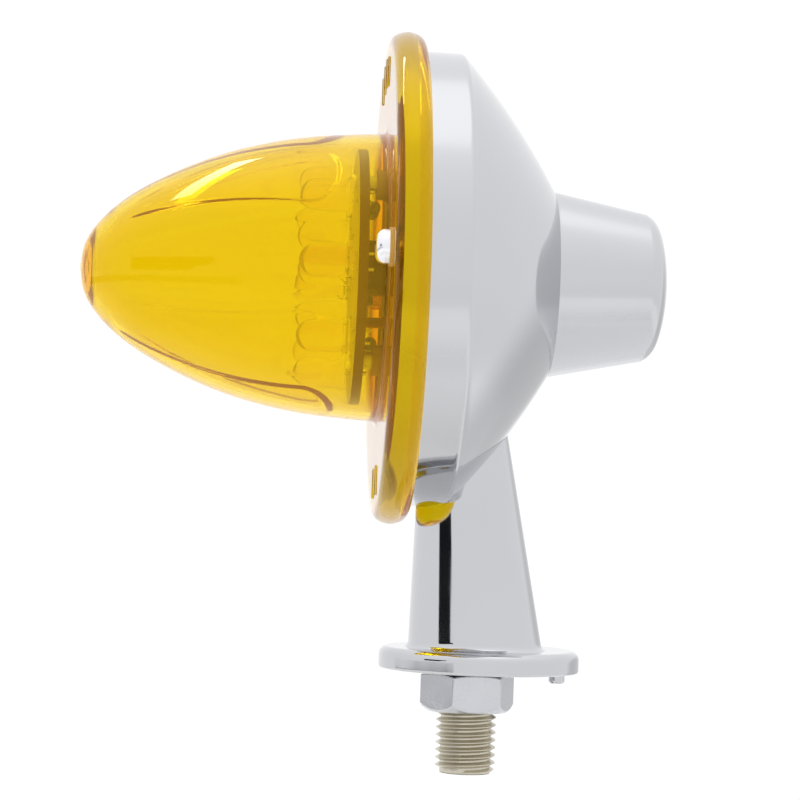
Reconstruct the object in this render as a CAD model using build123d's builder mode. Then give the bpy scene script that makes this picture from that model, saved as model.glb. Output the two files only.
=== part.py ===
from build123d import *
from math import cos, radians, sin
import os

os.makedirs("parts", exist_ok=True)

# Frame: +Z up the mounting stud, lens nose toward -X, origin on the stud axis
# at the plane the base plate rests on. All lengths in millimetres.

# ---- driving dimensions -------------------------------------------------
axis_height = 65.0        # lamp axis above the seat plane
seat_x = -10.4            # lens lengths are measured forward from this plane
clocking = 5.0            # the lens and its board are turned this far, degrees

# housing casting
rim_radius = 38.1
rim_back_x = -4.6
mouth_x = -11.9           # the rim reaches this far inside the lens skirt
stub_root_x = 11.6
stub_root_radius = 15.65
stub_end_x = 27.4
stub_end_radius = 12.45
stub_tip_x = 31.2
arm_foot_x = 1.05
arm_foot_radius = 11.25
arm_top_x = -2.55
arm_top_radius = 6.7
arm_top_z = 46.0
arm_wall = 2.3
arm_floor_z = 11.0
base_x = 1.75
base_radius = 16.8
base_thickness = 3.6
base_rounding = 1.4
seat_recess_radius = 9.2
seat_recess_depth = 0.5
locating_x = 15.0
locating_radius = 1.35
locating_length = 2.0

# stud and nut
stud_radius = 5.0
stud_bore = 2.5
stud_low_z = -17.25
stud_top_z = 10.5
thread_clear = 0.05
relief_radius = 4.3
relief_drop = 0.15
relief_length = 1.15
nut_flats = 14.0
nut_turn = 8.3
nut_low_z = -7.0
washer_low_z = -0.6

# lens
flange_radius = 41.1
flange_front = 6.5
flange_rear = 0.8
flange_web_rear = 3.1
skirt_inner = 38.4
tube_outer = 24.1
tube_inner = 22.75
nose_length = 56.75
pad_count = 9
pad_height = 0.6
pad_rear = 14.5
pad_front = 49.5
pad_half = 6.3

# screws
lens_screw_radius = 31.6
lens_screw_head = 2.8
lens_screw_shank = 1.5
seal_thickness = 0.5

# lamp board
board_radius = 21.4
board_rear_x = -20.0
board_thickness = 1.6
carrier_front_x = -9.4
carrier_thickness = 1.6
post_ring = 15.8
post_angles = (67.5, 157.5, 292.5)
outer_ring = 16.2
inner_ring = 6.8
led_base_x = -22.4
led_radius = 2.5
led_height = 8.6
leg_radius = 0.25
leg_pitch = 1.27
lead_radius = 0.9

c5 = cos(radians(clocking))
s5 = sin(radians(clocking))
lamp_axis = Axis((0, 0, axis_height), (1, 0, 0))


def facing(x):
    """Plane square to the lamp axis, its normal toward the nose, clocked with the lens."""
    return Plane(origin=(x, 0, axis_height), x_dir=(0, -c5, s5), z_dir=(-1, 0, 0))


def at(u, v):
    """World y and z of a point u, v on a facing plane."""
    return (-u * c5 + v * s5, axis_height + u * s5 + v * c5)


def section(x, r):
    """A point of a revolved outline: along the lamp axis, out from it."""
    return (x, axis_height + r)


def bowl_outline():
    """Outline of the bowl, cone and rear stub, drawn as a face in the XZ plane."""
    with BuildSketch(Plane.XZ) as outline:
        with BuildLine():
            Polyline(
                section(mouth_x, 0),
                section(mouth_x, rim_radius),
                section(rim_back_x - 0.6, rim_radius - 0.15),
            )
            RadiusArc(
                section(rim_back_x - 0.6, rim_radius - 0.15),
                section(rim_back_x + 0.3, rim_radius - 0.75),
                1.0,
            )
            ThreePointArc(
                section(rim_back_x + 0.3, rim_radius - 0.75),
                section(4.0, 27.35),
                section(stub_root_x, stub_root_radius),
            )
            Polyline(
                section(stub_root_x, stub_root_radius),
                section(stub_end_x, stub_end_radius),
            )
            Spline(
                section(stub_end_x, stub_end_radius),
                section(stub_end_x + 1.9, 10.6),
                section(stub_end_x + 3.2, 6.2),
                section(stub_tip_x, 0),
                tangents=((1, -0.2), (0, -1)),
            )
            Line(section(stub_tip_x, 0), section(mouth_x, 0))
        make_face()
    return outline.sketch


# ---- bosses inside the bowl, trimmed to its outside ----------------------
with BuildPart() as bosses:
    with BuildSketch(facing(2.0)):
        with PolarLocations(lens_screw_radius, 2):
            Circle(4.3)
    extrude(amount=2.0 - mouth_x)
    with BuildSketch(facing(6.0)):
        with PolarLocations(28.0, 2, start_angle=55):
            Circle(3.2)
    extrude(amount=6.0 - carrier_front_x - carrier_thickness)
    with BuildSketch(Plane(origin=(9.0, 7.26, 82.0), x_dir=(0, 1, 0), z_dir=(-1, 0, 0))):
        Circle(3.5)
    extrude(amount=7.0)
    revolve(bowl_outline(), axis=lamp_axis, mode=Mode.INTERSECT)


# ---- housing: one hollow casting ---------------------------------------
with BuildPart() as housing:
    revolve(bowl_outline(), axis=lamp_axis)
    with BuildSketch(Plane.XY.offset(base_thickness - 1.0)):
        with Locations((arm_foot_x + 0.09, 0)):
            Circle(arm_foot_radius + 0.12)
    with BuildSketch(Plane.XY.offset(arm_top_z)):
        with Locations((arm_top_x, 0)):
            Circle(arm_top_radius)
    loft()
    with BuildSketch(Plane.XY):
        with Locations((base_x, 0)):
            Circle(base_radius)
    extrude(amount=base_thickness)
    base_edges = housing.edges().filter_by(GeomType.CIRCLE)
    top_rim = base_edges.filter_by(lambda e: abs(e.radius - base_radius) < 0.01)
    fillet(top_rim.sort_by(Axis.Z)[-1], base_rounding)
    # bowl and stub hollow
    with BuildSketch(Plane.XZ):
        with BuildLine():
            Polyline(
                section(mouth_x - 1, 0),
                section(mouth_x - 1, 35.6),
                section(-5.6, 35.6),
                section(9.9, 14.2),
                section(11.2, 12.9),
                section(26.4, 9.8),
                section(28.2, 7.6),
                section(28.2, 0),
                close=True,
            )
        make_face()
    revolve(axis=lamp_axis, mode=Mode.SUBTRACT)
    # arm passage for the lead
    with BuildSketch(Plane.XY.offset(arm_floor_z)):
        with Locations((0.3, 0)):
            Circle(7.9)
    with BuildSketch(Plane.XY.offset(arm_top_z)):
        with Locations((arm_top_x, 0)):
            Circle(arm_top_radius - arm_wall)
    loft(mode=Mode.SUBTRACT)
    # bosses for the lens screws, the carrier screws and the earth screw
    add(bosses.part)
    # screw holes
    with BuildSketch(facing(mouth_x + 8.7)):
        with PolarLocations(lens_screw_radius, 2):
            Circle(lens_screw_shank + thread_clear)
    extrude(amount=12, mode=Mode.SUBTRACT)
    with BuildSketch(facing(carrier_front_x + carrier_thickness + 5.6)):
        with PolarLocations(28.0, 2, start_angle=55):
            Circle(1.25 + thread_clear)
    extrude(amount=8, mode=Mode.SUBTRACT)
    with BuildSketch(Plane(origin=(7.2, 7.26, 82.0), x_dir=(0, 1, 0), z_dir=(-1, 0, 0))):
        Circle(1.5 + thread_clear)
    extrude(amount=8, mode=Mode.SUBTRACT)
    # stud hole, washer recess and locating pin
    with BuildSketch(Plane.XY.offset(-1)):
        Circle(stud_radius + thread_clear)
    extrude(amount=arm_floor_z + 2, mode=Mode.SUBTRACT)
    with BuildSketch(Plane.XY.offset(-1)):
        Circle(seat_recess_radius)
    extrude(amount=1 + seat_recess_depth, mode=Mode.SUBTRACT)
    with BuildSketch(Plane.XY.offset(-locating_length)):
        with Locations((locating_x, 0)):
            Circle(locating_radius)
    extrude(amount=locating_length + 0.5)
    pin_edges = housing.edges().filter_by(GeomType.CIRCLE).sort_by(Axis.Z)
    chamfer(pin_edges[0], 0.3)
housing.part.label = "housing"
export_step(housing.part, "parts/housing.step")


# ---- stud, washer and nut ----------------------------------------------
with BuildPart() as stud:
    with BuildSketch(Plane.XY.offset(stud_low_z)):
        Circle(stud_radius)
    extrude(amount=stud_top_z - stud_low_z)
    chamfer(stud.edges().filter_by(GeomType.CIRCLE).sort_by(Axis.Z)[0], 0.75)
    # thread-deep relief under the nut, between the free end and the seated length
    with BuildSketch(Plane.XY.offset(nut_low_z - relief_drop)):
        Circle(stud_radius + 1)
        Circle(relief_radius, mode=Mode.SUBTRACT)
    extrude(amount=relief_length, mode=Mode.SUBTRACT)
    with BuildSketch(Plane.XY.offset(stud_low_z - 1)):
        Circle(stud_bore)
    extrude(amount=stud_top_z - stud_low_z + 2, mode=Mode.SUBTRACT)
stud.part.label = "stud"
export_step(stud.part, "parts/stud.step")

with BuildPart() as lock_washer:
    with BuildSketch(Plane.XY.offset(washer_low_z)):
        Circle(8.0)
        Circle(stud_radius + 0.2, mode=Mode.SUBTRACT)
    extrude(amount=seat_recess_depth - washer_low_z)
lock_washer.part.label = "lock_washer"
export_step(lock_washer.part, "parts/lock_washer.step")

with BuildPart() as mount_nut:
    with BuildSketch(Plane.XY.offset(nut_low_z)):
        RegularPolygon(nut_flats / 2, 6, major_radius=False, rotation=nut_turn)
    extrude(amount=washer_low_z - nut_low_z)
    # both ends turned to a cone so the corners are taken off
    with BuildSketch(Plane.XZ):
        with BuildLine():
            Polyline(
                (0, nut_low_z),
                (6.55, nut_low_z),
                (8.4, nut_low_z + 1.0),
                (8.4, washer_low_z - 1.0),
                (6.75, washer_low_z),
                (0, washer_low_z),
                close=True,
            )
        make_face()
    revolve(axis=Axis.Z, mode=Mode.INTERSECT)
    with BuildSketch(Plane.XY.offset(nut_low_z - 1)):
        Circle(stud_radius + thread_clear)
    extrude(amount=10, mode=Mode.SUBTRACT)
mount_nut.part.label = "mount_nut"
export_step(mount_nut.part, "parts/mount_nut.step")


# ---- lens: one clear moulding, pads raised on its inner face -------------
outer_curve = (
    (7.5, 24.1),
    (11.0, 23.9),
    (18.8, 23.2),
    (25.8, 21.95),
    (32.8, 20.0),
    (39.8, 17.2),
    (46.3, 13.8),
    (50.8, 10.6),
    (54.1, 7.2),
    (56.0, 3.9),
    (nose_length, 0),
)
inner_curve = (
    (7.5, 22.75),
    (11.0, 22.55),
    (18.8, 21.85),
    (25.6, 20.6),
    (32.4, 18.7),
    (39.1, 16.0),
    (45.3, 12.75),
    (49.6, 9.7),
    (52.6, 6.6),
    (54.0, 4.2),
)


def along(points, shift=0.0):
    """Outline points given as (distance ahead of the seat plane, radius)."""
    return [section(seat_x - s, r - shift) for s, r in points]


with BuildPart() as lens:
    with BuildSketch(Plane.XZ):
        with BuildLine():
            Spline(*along(outer_curve), tangents=((-1, -0.01), (0, -1)))
            Line(section(seat_x - nose_length, 0), section(seat_x - 54.0, 0))
            Line(section(seat_x - 54.0, 0), section(seat_x - 54.0, 4.2))
            Spline(*along(inner_curve[::-1]), tangents=((0.55, 0.84), (1, 0.01)))
            Polyline(
                section(seat_x - 7.5, tube_inner),
                section(seat_x - flange_web_rear, tube_inner),
                section(seat_x - flange_web_rear, skirt_inner),
                section(seat_x - flange_rear, skirt_inner),
                section(seat_x - flange_rear, 39.6),
            )
            ThreePointArc(
                section(seat_x - flange_rear, 39.6),
                section(seat_x - flange_rear - 0.85, 40.7),
                section(seat_x - 3.6, flange_radius),
            )
            ThreePointArc(
                section(seat_x - 3.6, flange_radius),
                section(seat_x - 5.7, 40.7),
                section(seat_x - flange_front, 39.6),
            )
            Polyline(
                section(seat_x - flange_front, 39.6),
                section(seat_x - flange_front, 24.6),
                section(seat_x - 7.5, 24.1),
            )
        make_face()
    revolve(axis=lamp_axis)
    # screw holes through the flange
    with BuildSketch(facing(seat_x)):
        with PolarLocations(lens_screw_radius, 2):
            Circle(1.8)
    extrude(amount=8, mode=Mode.SUBTRACT)
    # plain raised ticks on the front of the flange
    with BuildSketch(facing(seat_x - flange_front)):
        with PolarLocations(34.5, 4, start_angle=77, angular_range=26, endpoint=True):
            Rectangle(5.0, 0.7)
        with PolarLocations(34.5, 2, start_angle=264, angular_range=12, endpoint=True):
            Rectangle(5.0, 0.7)
    extrude(amount=0.25)

with BuildPart() as pad_band:
    with BuildSketch(Plane.XZ):
        with BuildLine():
            Spline(*along(inner_curve, -0.15), tangents=((-1, -0.01), (-0.55, -0.84)))
            Line(section(seat_x - 54.0, 4.35), section(seat_x - 54.0, 4.2 - pad_height))
            Spline(
                *along(inner_curve[::-1], pad_height),
                tangents=((0.55, 0.84), (1, 0.01)),
            )
            Line(section(seat_x - 7.5, 22.75 - pad_height), section(seat_x - 7.5, 22.9))
        make_face()
    revolve(axis=lamp_axis)

with BuildPart() as pad_shape:
    for index in range(pad_count):
        turn = radians(index * 360 / pad_count - clocking)
        outward = (0, -cos(turn), -sin(turn))
        with BuildSketch(Plane(origin=(seat_x, 0, axis_height), x_dir=(-1, 0, 0), z_dir=outward)):
            with BuildLine():
                Line((pad_rear + 4.6, pad_half), (pad_front, 0.5))
                Line((pad_front, 0.5), (pad_front, -0.5))
                Line((pad_front, -0.5), (pad_rear + 4.6, -pad_half))
                ThreePointArc(
                    (pad_rear + 4.6, -pad_half),
                    (pad_rear, 0),
                    (pad_rear + 4.6, pad_half),
                )
            make_face()
        extrude(amount=26)

pads = pad_band.part & pad_shape.part
with BuildPart() as lens_whole:
    add(lens.part)
    add(pads)
lens_whole.part.label = "lens"
export_step(lens_whole.part, "parts/lens.step")

with BuildPart() as lens_gasket:
    with BuildSketch(facing(mouth_x)):
        Circle(37.8)
        Circle(36.0, mode=Mode.SUBTRACT)
    extrude(amount=mouth_x - seat_x + flange_web_rear)
lens_gasket.part.label = "lens_gasket"
export_step(lens_gasket.part, "parts/lens_gasket.step")


def lens_screw_at(side, name):
    """One seal ring and one cross-recessed pan-head screw, on the side given by its sign."""
    front = seat_x - flange_front
    with BuildPart() as seal:
        with BuildSketch(facing(front)):
            with Locations((side * lens_screw_radius, 0)):
                Circle(3.1)
                Circle(lens_screw_shank + 0.15, mode=Mode.SUBTRACT)
        extrude(amount=seal_thickness)
    seal.part.label = "screw_seal_" + name
    export_step(seal.part, "parts/screw_seal_" + name + ".step")
    with BuildPart() as screw:
        with BuildSketch(facing(front - seal_thickness)):
            with Locations((side * lens_screw_radius, 0)):
                Circle(lens_screw_head)
        extrude(amount=2.2)
        dome = screw.edges().filter_by(GeomType.CIRCLE).sort_by(Axis.X)[0]
        fillet(dome, 1.5)
        with BuildSketch(facing(front - seal_thickness)):
            with Locations((side * lens_screw_radius, 0)):
                Circle(lens_screw_shank)
        extrude(amount=-13.0)
        chamfer(screw.edges().filter_by(GeomType.CIRCLE).sort_by(Axis.X)[-1], 0.4)
        with BuildSketch(facing(front - seal_thickness - 1.0)):
            with Locations((side * lens_screw_radius, 0)):
                Rectangle(3.2, 0.7, rotation=20)
                Rectangle(0.7, 3.2, rotation=20)
        extrude(amount=2.0, mode=Mode.SUBTRACT)
    screw.part.label = "lens_screw_" + name
    export_step(screw.part, "parts/lens_screw_" + name + ".step")


lens_screw_at(1, "left")
lens_screw_at(-1, "right")


# ---- carrier with its three posts ----------------------------------------
with BuildPart() as carrier:
    with BuildSketch(facing(carrier_front_x + carrier_thickness)):
        Circle(34.6)
        Circle(12.5, mode=Mode.SUBTRACT)
        with PolarLocations(lens_screw_radius, 2):
            Circle(4.8, mode=Mode.SUBTRACT)
        with PolarLocations(28.0, 2, start_angle=55):
            Circle(1.5, mode=Mode.SUBTRACT)
    extrude(amount=carrier_thickness)
    with BuildSketch(facing(carrier_front_x)):
        for angle in post_angles:
            with PolarLocations(post_ring, 1, start_angle=angle):
                Circle(2.5)
    extrude(amount=carrier_front_x - board_rear_x - 1.7)
    # three ribs on the rear face
    with BuildSketch(facing(carrier_front_x + carrier_thickness)):
        with PolarLocations(20.5, 3, start_angle=22):
            Rectangle(14.0, 1.6)
    extrude(amount=-2.2)
    with BuildSketch(facing(carrier_front_x - 2.0)):
        for angle in post_angles:
            with PolarLocations(post_ring, 1, start_angle=angle):
                Circle(0.85)
    extrude(amount=12, mode=Mode.SUBTRACT)
carrier.part.label = "carrier"
export_step(carrier.part, "parts/carrier.step")

with BuildPart() as carrier_screws:
    with BuildSketch(facing(carrier_front_x)):
        with PolarLocations(28.0, 2, start_angle=55):
            Circle(2.4)
    extrude(amount=1.7)
    heads = carrier_screws.edges().filter_by(GeomType.CIRCLE).sort_by(Axis.X)[0:2]
    fillet(heads, 1.0)
    with BuildSketch(facing(carrier_front_x)):
        with PolarLocations(28.0, 2, start_angle=55):
            Circle(1.25)
    extrude(amount=-6.4)
    with BuildSketch(facing(carrier_front_x - 0.9)):
        with PolarLocations(28.0, 2, start_angle=55):
            Rectangle(2.8, 0.6)
            Rectangle(0.6, 2.8)
    extrude(amount=2.0, mode=Mode.SUBTRACT)
carrier_screws.part.label = "carrier_screws"
export_step(carrier_screws.part, "parts/carrier_screws.step")


# ---- lamp board and what is soldered to it --------------------------------
board_front_x = board_rear_x - board_thickness
with BuildPart() as led_board:
    with BuildSketch(facing(board_rear_x)):
        Circle(board_radius)
        for angle in post_angles:
            with PolarLocations(post_ring, 1, start_angle=angle):
                Circle(0.9, mode=Mode.SUBTRACT)
        with PolarLocations(outer_ring, 8):
            with Locations((0, leg_pitch), (0, -leg_pitch)):
                Circle(leg_radius + 0.05, mode=Mode.SUBTRACT)
        with PolarLocations(inner_ring, 4):
            with Locations((0, leg_pitch), (0, -leg_pitch)):
                Circle(leg_radius + 0.05, mode=Mode.SUBTRACT)
    extrude(amount=board_thickness)
led_board.part.label = "led_board"
export_step(led_board.part, "parts/led_board.step")


def posts_ring(name, start, length, outside, inside):
    """Three identical round pieces on the post positions."""
    with BuildPart() as piece:
        with BuildSketch(facing(start)):
            for angle in post_angles:
                with PolarLocations(post_ring, 1, start_angle=angle):
                    Circle(outside)
                    Circle(inside, mode=Mode.SUBTRACT)
        extrude(amount=length)
    piece.part.label = name
    export_step(piece.part, "parts/" + name + ".step")


posts_ring("board_spacers", board_rear_x + 1.7, 1.7, 1.45, 0.85)

with BuildPart() as board_screws:
    with BuildSketch(facing(board_front_x)):
        for angle in post_angles:
            with PolarLocations(post_ring, 1, start_angle=angle):
                Circle(1.6)
    extrude(amount=1.0)
    fillet(board_screws.edges().filter_by(GeomType.CIRCLE).sort_by(Axis.X)[0:3], 0.5)
    with BuildSketch(facing(board_front_x)):
        for angle in post_angles:
            with PolarLocations(post_ring, 1, start_angle=angle):
                Circle(0.8)
    extrude(amount=-7.5)
    with BuildSketch(facing(board_front_x - 0.5)):
        for angle in post_angles:
            with PolarLocations(post_ring, 1, start_angle=angle):
                Rectangle(2.0, 0.4)
    extrude(amount=1.0, mode=Mode.SUBTRACT)
board_screws.part.label = "board_screws"
export_step(board_screws.part, "parts/board_screws.step")

led_body_length = led_height - led_radius
with BuildPart() as one_led:
    with BuildSketch(Plane.XZ):
        with BuildLine():
            Polyline(
                (0, led_height),
                (0, 0),
                (2.9, 0),
                (2.9, 1.0),
                (led_radius, 1.0),
                (led_radius, led_body_length),
            )
            RadiusArc((led_radius, led_body_length), (0, led_height), -led_radius)
        make_face()
    revolve(axis=Axis.Z)
    # flat on the rim that marks one leg
    with Locations((0, -3.5, 0.5)):
        Box(8, 2, 1.2, mode=Mode.SUBTRACT)


def led_ring(name, ring, count):
    """The clear bodies of one ring, and their legs through the board."""
    with BuildPart() as bodies:
        with Locations(facing(led_base_x).location):
            with PolarLocations(ring, count):
                add(one_led.part)
    bodies.part.label = "leds_" + name
    export_step(bodies.part, "parts/leds_" + name + ".step")
    with BuildPart() as legs:
        with BuildSketch(facing(led_base_x)):
            with PolarLocations(ring, count):
                with Locations((0, leg_pitch), (0, -leg_pitch)):
                    Circle(leg_radius)
        extrude(amount=-(board_rear_x - led_base_x + 1.1))
    legs.part.label = "led_legs_" + name
    export_step(legs.part, "parts/led_legs_" + name + ".step")


led_ring("outer", outer_ring, 8)
led_ring("inner", inner_ring, 4)

# driver chip flat on the rear of the board
with BuildPart() as driver_chip:
    with BuildSketch(facing(board_rear_x)):
        with Locations((11.2, 0)):
            Rectangle(4.0, 7.7)
    extrude(amount=-2.3)
    chamfer(driver_chip.faces().sort_by(Axis.X)[-1].edges(), 0.25)
driver_chip.part.label = "driver_chip"
export_step(driver_chip.part, "parts/driver_chip.step")

with BuildPart() as capacitor:
    with BuildSketch(facing(board_rear_x)):
        Circle(3.1)
    extrude(amount=-8.5)
    fillet(capacitor.edges().filter_by(GeomType.CIRCLE).sort_by(Axis.X)[-1], 0.5)
capacitor.part.label = "capacitor"
export_step(capacitor.part, "parts/capacitor.step")

# three axial resistors, each lying square to a radius
resistor_rise = 1.45
resistor_half = 3.1
resistor_seats = ((90, 11.5), (180, 11.5), (270, 11.5))
with BuildPart() as resistors:
    for angle, ring in resistor_seats:
        a = radians(angle)
        y, z = at(ring * cos(a), ring * sin(a))
        ty, tz = at(-sin(a), cos(a))
        along_seat = (0, ty, tz - axis_height)
        start = (
            board_rear_x + resistor_rise,
            y - resistor_half * along_seat[1],
            z - resistor_half * along_seat[2],
        )
        with BuildSketch(Plane(origin=start, x_dir=(1, 0, 0), z_dir=along_seat)):
            Circle(1.15)
        extrude(amount=2 * resistor_half)
    fillet(resistors.edges().filter_by(GeomType.CIRCLE), 0.4)
resistors.part.label = "resistors"
export_step(resistors.part, "parts/resistors.step")

with BuildPart() as resistor_legs:
    for angle, ring in resistor_seats:
        a = radians(angle)
        y, z = at(ring * cos(a), ring * sin(a))
        ty, tz = at(-sin(a), cos(a))
        for side in (-1, 1):
            d = (side * ty, side * (tz - axis_height))
            x0 = board_rear_x + resistor_rise
            p0 = (x0, y + resistor_half * d[0], z + resistor_half * d[1])
            p1 = (x0, y + 4.7 * d[0], z + 4.7 * d[1])
            p2 = (board_rear_x, p1[1], p1[2])
            with BuildLine() as leg_path:
                FilletPolyline(p0, p1, p2, radius=0.6)
            with BuildSketch(Plane(origin=p0, z_dir=(0, d[0], d[1]))):
                Circle(0.25)
            sweep(path=leg_path.wires()[0])
resistor_legs.part.label = "resistor_legs"
export_step(resistor_legs.part, "parts/resistor_legs.step")


# ---- leads, earth terminal and grommet ------------------------------------
feed_y, feed_z = at(-6.7, -6.7)
earth_y, earth_z = at(-6.7, 6.7)
with BuildPart() as lead_feed:
    with BuildLine() as feed_path:
        FilletPolyline(
            (board_rear_x, feed_y, feed_z),
            (-1.6, feed_y, feed_z),
            (-1.6, 0, 36.0),
            (0, 0, 14.5),
            (0, 0, -16.4),
            radius=5.0,
        )
    with BuildSketch(Plane(origin=(board_rear_x, feed_y, feed_z), z_dir=(1, 0, 0))):
        Circle(lead_radius)
    sweep(path=feed_path.wires()[0])
lead_feed.part.label = "lead_feed"
export_step(lead_feed.part, "parts/lead_feed.step")

with BuildPart() as lead_earth:
    with BuildLine() as earth_path:
        FilletPolyline(
            (board_rear_x, earth_y, earth_z),
            (1.6, earth_y, earth_z),
            (1.6, earth_y, 77.2),
            radius=3.0,
        )
    with BuildSketch(Plane(origin=(board_rear_x, earth_y, earth_z), z_dir=(1, 0, 0))):
        Circle(lead_radius)
    sweep(path=earth_path.wires()[0])
lead_earth.part.label = "lead_earth"
export_step(lead_earth.part, "parts/lead_earth.step")

with BuildPart() as ring_terminal:
    with BuildSketch(Plane(origin=(2.0, earth_y, 82.0), x_dir=(0, 1, 0), z_dir=(-1, 0, 0))):
        Circle(3.0)
        with Locations((0, 3.325)):
            Rectangle(2.5, 2.65)
        Circle(1.6, mode=Mode.SUBTRACT)
    extrude(amount=0.8)
    with BuildSketch(Plane(origin=(1.6, earth_y, 74.3))):
        Circle(1.35)
        Circle(lead_radius + 0.05, mode=Mode.SUBTRACT)
    extrude(amount=3.6)
ring_terminal.part.label = "ring_terminal"
export_step(ring_terminal.part, "parts/ring_terminal.step")

with BuildPart() as earth_screw:
    with BuildSketch(Plane(origin=(1.2, earth_y, 82.0), x_dir=(0, 1, 0), z_dir=(-1, 0, 0))):
        Circle(2.7)
    extrude(amount=1.9)
    fillet(earth_screw.edges().filter_by(GeomType.CIRCLE).sort_by(Axis.X)[0], 1.1)
    with BuildSketch(Plane(origin=(1.2, earth_y, 82.0), x_dir=(0, 1, 0), z_dir=(-1, 0, 0))):
        Circle(1.5)
    extrude(amount=-5.6)
    with BuildSketch(Plane(origin=(0.2, earth_y, 82.0), x_dir=(0, 1, 0), z_dir=(-1, 0, 0))):
        Rectangle(3.0, 0.7)
        Rectangle(0.7, 3.0)
    extrude(amount=2.0, mode=Mode.SUBTRACT)
earth_screw.part.label = "earth_screw"
export_step(earth_screw.part, "parts/earth_screw.step")

with BuildPart() as lead_grommet:
    with BuildSketch(Plane.XY.offset(stud_top_z - 4.5)):
        Circle(stud_bore - 0.04)
    extrude(amount=4.5)
    with BuildSketch(Plane.XY.offset(stud_top_z)):
        Circle(3.8)
    extrude(amount=1.2)
    fillet(lead_grommet.edges().filter_by(GeomType.CIRCLE).sort_by(Axis.Z)[-1], 0.5)
    with BuildSketch(Plane.XY.offset(stud_top_z - 5)):
        Circle(lead_radius + 0.05)
    extrude(amount=8, mode=Mode.SUBTRACT)
lead_grommet.part.label = "lead_grommet"
export_step(lead_grommet.part, "parts/lead_grommet.step")
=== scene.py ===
from math import atan2, cos, hypot, pi, radians, sin, sqrt

import bmesh
import bpy
from mathutils import Matrix, Vector


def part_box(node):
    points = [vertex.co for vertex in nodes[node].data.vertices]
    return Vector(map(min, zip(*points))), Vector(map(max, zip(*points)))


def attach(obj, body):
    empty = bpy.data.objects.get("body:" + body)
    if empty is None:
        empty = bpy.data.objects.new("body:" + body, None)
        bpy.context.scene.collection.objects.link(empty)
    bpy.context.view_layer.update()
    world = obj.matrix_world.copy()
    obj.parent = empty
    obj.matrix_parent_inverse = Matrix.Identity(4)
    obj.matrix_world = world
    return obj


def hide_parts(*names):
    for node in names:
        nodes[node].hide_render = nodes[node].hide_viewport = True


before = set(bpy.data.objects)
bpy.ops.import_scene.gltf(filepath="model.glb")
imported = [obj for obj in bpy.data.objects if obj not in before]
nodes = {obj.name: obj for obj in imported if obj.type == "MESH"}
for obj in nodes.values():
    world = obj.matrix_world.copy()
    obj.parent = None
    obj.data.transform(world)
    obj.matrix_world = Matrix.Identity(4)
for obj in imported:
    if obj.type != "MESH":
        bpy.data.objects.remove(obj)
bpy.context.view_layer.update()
MM = 0.001

# ---- places and sizes read from the frame --------------------------------
lens_low, lens_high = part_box("lens")
housing_low, housing_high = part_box("housing")
stud_low, stud_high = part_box("stud")
nut_low, nut_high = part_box("mount_nut")
board_low, board_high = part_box("led_board")
LAMP_Z = (lens_low.z + lens_high.z) / 2
FLANGE_REAR = 0.8
SEAT_X = lens_high.x + FLANGE_REAR * MM
CLOCK = radians(5.0)
LAMP_AXIS = Vector((-1, 0, 0))
NEAR = Vector((0, -cos(CLOCK), sin(CLOCK)))
UP = Vector((0, sin(CLOCK), cos(CLOCK)))


def on_lamp(s, r=0.0, angle=0.0):
    """A point s mm ahead of the seat plane, r mm out, turned from the near side toward the top."""
    out = NEAR * cos(angle) + UP * sin(angle)
    return Vector((SEAT_X, 0, LAMP_Z)) + LAMP_AXIS * (s * MM) + out * (r * MM)


# ---- mesh helpers ----------------------------------------------------------
def finish_mesh(name, verts, faces, smooth=True, sharp=35.0):
    """A linked object from plain lists, normals outward, creases kept where the angle is sharp."""
    mesh = bpy.data.meshes.new(name)
    mesh.from_pydata([tuple(v) for v in verts], [], faces)
    work = bmesh.new()
    work.from_mesh(mesh)
    bmesh.ops.remove_doubles(work, verts=work.verts, dist=1e-7)
    bmesh.ops.dissolve_degenerate(work, edges=work.edges, dist=1e-7)
    bmesh.ops.recalc_face_normals(work, faces=work.faces)
    for face in work.faces:
        face.smooth = smooth
    work.to_mesh(mesh)
    work.free()
    if smooth:
        mesh.set_sharp_from_angle(angle=radians(sharp))
    piece = bpy.data.objects.new(name, mesh)
    bpy.context.scene.collection.objects.link(piece)
    return piece


def lathe(name, outline, place, count=96, closed=True, sharp=35.0):
    """A turned piece: outline is (along, out) in mm, place(along, out, angle) gives the point."""
    verts, faces, rings = [], [], []
    for s, r in outline:
        if r < 1e-6:
            rings.append([len(verts)] * count)
            verts.append(place(s, 0, 0))
        else:
            rings.append(list(range(len(verts), len(verts) + count)))
            verts += [place(s, r, 2 * pi * i / count) for i in range(count)]
    pairs = list(zip(rings, rings[1:]))
    if closed:
        pairs.append((rings[-1], rings[0]))
    for a, b in pairs:
        for i in range(count):
            j = (i + 1) % count
            loop = [a[i], a[j], b[j], b[i]]
            loop = [v for k, v in enumerate(loop) if v != loop[k - 1]]
            if len(set(loop)) > 2:
                faces.append(loop)
    return finish_mesh(name, verts, faces, sharp=sharp)


def curve_through(points, steps):
    """Points on a smooth curve through the given ones."""
    out = []
    for k in range(len(points) - 1):
        p1, p2 = points[k], points[k + 1]
        p0 = points[k - 1] if k else (2 * p1[0] - p2[0], 2 * p1[1] - p2[1])
        p3 = points[k + 2] if k + 2 < len(points) else (2 * p2[0] - p1[0], 2 * p2[1] - p1[1])
        for i in range(steps):
            t = i / steps
            a = -0.5 * t + t * t - 0.5 * t**3
            b = 1 - 2.5 * t * t + 1.5 * t**3
            c = 0.5 * t + 2 * t * t - 1.5 * t**3
            d = -0.5 * t * t + 0.5 * t**3
            out.append(tuple(a * p0[n] + b * p1[n] + c * p2[n] + d * p3[n] for n in (0, 1)))
    return out + [tuple(points[-1])]


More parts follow.
